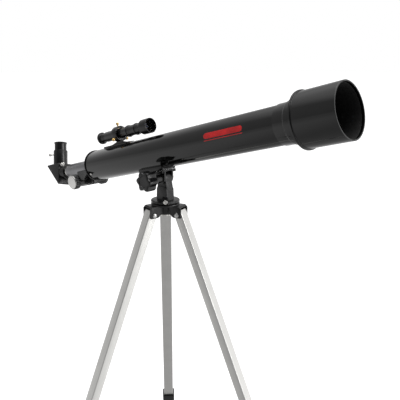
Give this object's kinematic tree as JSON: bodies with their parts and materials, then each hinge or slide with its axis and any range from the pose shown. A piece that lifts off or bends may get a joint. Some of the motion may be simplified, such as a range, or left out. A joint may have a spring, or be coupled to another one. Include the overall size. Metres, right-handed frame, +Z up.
{
  "type": "telescope on tripod",
  "caption": "Small refracting telescope with finder, mirror diagonal and rack focuser on an alt-azimuth yoke head and a folding aluminium tripod.",
  "frame": {"origin": "on the floor under the middle of the object's outline", "axes": "+Z up, +X the way the telescope points in plan, -Y the side of the altitude knob"},
  "size_m": [0.6854, 0.5766, 1.0044],
  "materials": {
    "brass": "turned brass",
    "cast_black": "semi-gloss paint over a casting",
    "draw_grey": "dark grey satin",
    "eyepiece_black": "gloss anodised look",
    "leg_aluminium": "satin anodised",
    "mirror_glass": "front silvered",
    "moulded_black": "satin moulded",
    "nickel": "polished nickel plate",
    "optical_glass": "coated optical glass",
    "rubber": "matt",
    "tube_gloss": "high gloss enamel",
    "zinc": "bright zinc plate"
  },
  "bodies": {
    "tripod": {"tripod_crown": "cast_black", "leg_bolt_a": "zinc", "leg_bolt_b": "zinc", "leg_bolt_c": "zinc"},
    "yoke": {"mount_yoke": "cast_black", "azimuth_washer": "nickel", "azimuth_nut": "nickel", "altitude_nut": "nickel", "altitude_washer": "nickel"},
    "altitude_knob": {"altitude_knob": "moulded_black"},
    "azimuth_lock": {"azimuth_lock_screw": "nickel"},
    "tube": {"main_tube": "tube_gloss", "front_cell": "moulded_black", "dew_shield": "moulded_black", "crown_lens": "optical_glass", "flint_lens": "optical_glass", "lens_ring": "moulded_black", "focuser_housing": "moulded_black", "pinion_cover": "moulded_black", "finder_bracket": "moulded_black", "finder_tube": "moulded_black", "finder_lens": "optical_glass", "tube_shoe": "moulded_black", "saddle": "cast_black"},
    "draw_tube": {"draw_tube": "draw_grey", "focus_rack": "nickel"},
    "focus_pinion": {"focus_pinion": "nickel", "focus_knob_near": "moulded_black", "focus_knob_far": "moulded_black", "focus_knob_cap_near": "nickel", "focus_knob_cap_far": "nickel"},
    "diagonal": {"diagonal_body": "moulded_black", "diagonal_nose": "nickel", "diagonal_mirror": "mirror_glass", "mirror_cover": "moulded_black"},
    "eyepiece": {"eyepiece_barrel": "eyepiece_black", "eye_lens": "optical_glass", "field_lens": "optical_glass"},
    "eyepiece_screw": {"eyepiece_screw": "nickel"},
    "nose_screw": {"nose_screw": "nickel"},
    "finder_eyepiece": {"finder_eyepiece": "moulded_black"},
    "finder_screw_top": {"finder_screw_top": "brass"},
    "finder_screw_near": {"finder_screw_near": "brass"},
    "finder_screw_far": {"finder_screw_far": "brass"},
    "upper_leg_a": {"leg_upper_a": "leg_aluminium", "leg_clamp_a": "moulded_black"},
    "lower_leg_a": {"leg_lower_a": "leg_aluminium", "leg_foot_a": "rubber"},
    "leg_lock_a": {"leg_lock_screw_a": "moulded_black"},
    "upper_leg_b": {"leg_upper_b": "leg_aluminium", "leg_clamp_b": "moulded_black"},
    "lower_leg_b": {"leg_lower_b": "leg_aluminium", "leg_foot_b": "rubber"},
    "leg_lock_b": {"leg_lock_screw_b": "moulded_black"},
    "upper_leg_c": {"leg_upper_c": "leg_aluminium", "leg_clamp_c": "moulded_black"},
    "lower_leg_c": {"leg_lower_c": "leg_aluminium", "leg_foot_c": "rubber"},
    "leg_lock_c": {"leg_lock_screw_c": "moulded_black"}
  },
  "joints": [
    {"name": "azimuth", "type": "hinge", "parent": "tripod", "child": "yoke", "pos_m": [0.00184, 0.04263, 0.83433], "axis": [0, 0, 1], "continuous": true},
    {"name": "azimuth_lock_turn", "type": "hinge", "parent": "yoke", "child": "azimuth_lock", "pos_m": [0.00184, 0.04263, 0.79788], "axis": [0.7133, -0.7009, 0], "continuous": true},
    {"name": "altitude", "type": "hinge", "parent": "yoke", "child": "tube", "pos_m": [0.00184, 0.04263, 0.83433], "axis": [0, -1, 0], "range_deg": [-30, 45]},
    {"name": "altitude_knob_turn", "type": "hinge", "parent": "yoke", "child": "altitude_knob", "pos_m": [0.00184, 0.04263, 0.83433], "axis": [0, -1, 0], "continuous": true},
    {"name": "focus_travel", "type": "slide", "parent": "tube", "child": "draw_tube", "axis": [0.9681, 0, 0.2504], "range_m": [-0.01, 0.045]},
    {"name": "focus_turn", "type": "hinge", "parent": "tube", "child": "focus_pinion", "pos_m": [-0.21325, 0.04263, 0.80132], "axis": [0, 1, 0], "range_deg": [-110, 475]},
    {"name": "diagonal_turn", "type": "hinge", "parent": "draw_tube", "child": "diagonal", "pos_m": [-0.30895, 0.04263, 0.79992], "axis": [0.9681, 0, 0.2504], "continuous": true},
    {"name": "eyepiece_slide", "type": "slide", "parent": "diagonal", "child": "eyepiece", "axis": [-0.2435, 0.2334, 0.9414], "range_m": [0, 0.02]},
    {"name": "eyepiece_screw_turn", "type": "hinge", "parent": "diagonal", "child": "eyepiece_screw", "pos_m": [-0.31866, 0.05194, 0.83748], "axis": [-0.7259, -0.6876, -0.0172], "continuous": true},
    {"name": "nose_screw_turn", "type": "hinge", "parent": "diagonal", "child": "nose_screw", "pos_m": [-0.28499, 0.04263, 0.80612], "axis": [-0.233, -0.3665, 0.9008], "continuous": true},
    {"name": "finder_focus", "type": "slide", "parent": "tube", "child": "finder_eyepiece", "axis": [-0.9681, 0, -0.2504], "range_m": [0, 0.006]},
    {"name": "finder_screw_top_turn", "type": "hinge", "parent": "tube", "child": "finder_screw_top", "pos_m": [-0.11468, 0.04263, 0.89943], "axis": [-0.2504, 0, 0.9681], "continuous": true},
    {"name": "finder_screw_near_turn", "type": "hinge", "parent": "tube", "child": "finder_screw_near", "pos_m": [-0.11468, 0.04263, 0.89943], "axis": [0.1327, -0.848, -0.513], "continuous": true},
    {"name": "finder_screw_far_turn", "type": "hinge", "parent": "tube", "child": "finder_screw_far", "pos_m": [-0.11468, 0.04263, 0.89943], "axis": [0.1327, 0.848, -0.513], "continuous": true},
    {"name": "leg_fold_a", "type": "hinge", "parent": "tripod", "child": "upper_leg_a", "pos_m": [0.0293, 0.05024, 0.77383], "axis": [-0.2672, 0.9636, 0], "range_deg": [0, 19]},
    {"name": "leg_extend_a", "type": "slide", "parent": "upper_leg_a", "child": "lower_leg_a", "axis": [0.3485, 0.0966, -0.9323], "range_m": [-0.21, 0.19]},
    {"name": "leg_lock_turn_a", "type": "hinge", "parent": "upper_leg_a", "child": "leg_lock_a", "pos_m": [0.22781, 0.1053, 0.26649], "axis": [0.8984, 0.2492, 0.3616], "continuous": true},
    {"name": "leg_fold_b", "type": "hinge", "parent": "tripod", "child": "upper_leg_b", "pos_m": [-0.01849, 0.0626, 0.77383], "axis": [-0.7009, -0.7133, 0], "range_deg": [0, 19]},
    {"name": "leg_extend_b", "type": "slide", "parent": "upper_leg_b", "child": "lower_leg_b", "axis": [-0.2579, 0.2535, -0.9323], "range_m": [-0.21, 0.19]},
    {"name": "leg_lock_turn_b", "type": "hinge", "parent": "upper_leg_b", "child": "leg_lock_b", "pos_m": [-0.16543, 0.207, 0.26649], "axis": [-0.665, 0.6535, 0.3616], "continuous": true},
    {"name": "leg_fold_c", "type": "hinge", "parent": "tripod", "child": "upper_leg_c", "pos_m": [-0.0053, 0.01503, 0.77383], "axis": [0.9681, -0.2504, 0], "range_deg": [0, 19]},
    {"name": "leg_extend_c", "type": "slide", "parent": "upper_leg_c", "child": "lower_leg_c", "axis": [-0.0905, -0.3501, -0.9323], "range_m": [-0.21, 0.19]},
    {"name": "leg_lock_turn_c", "type": "hinge", "parent": "upper_leg_c", "child": "leg_lock_c", "pos_m": [-0.05688, -0.18441, 0.26649], "axis": [-0.2334, -0.9026, 0.3616], "continuous": true}
  ],
  "couplings": [
    {"joint": "focus_turn", "follows": "focus_travel", "rad_per_m": 178.57}
  ]
}
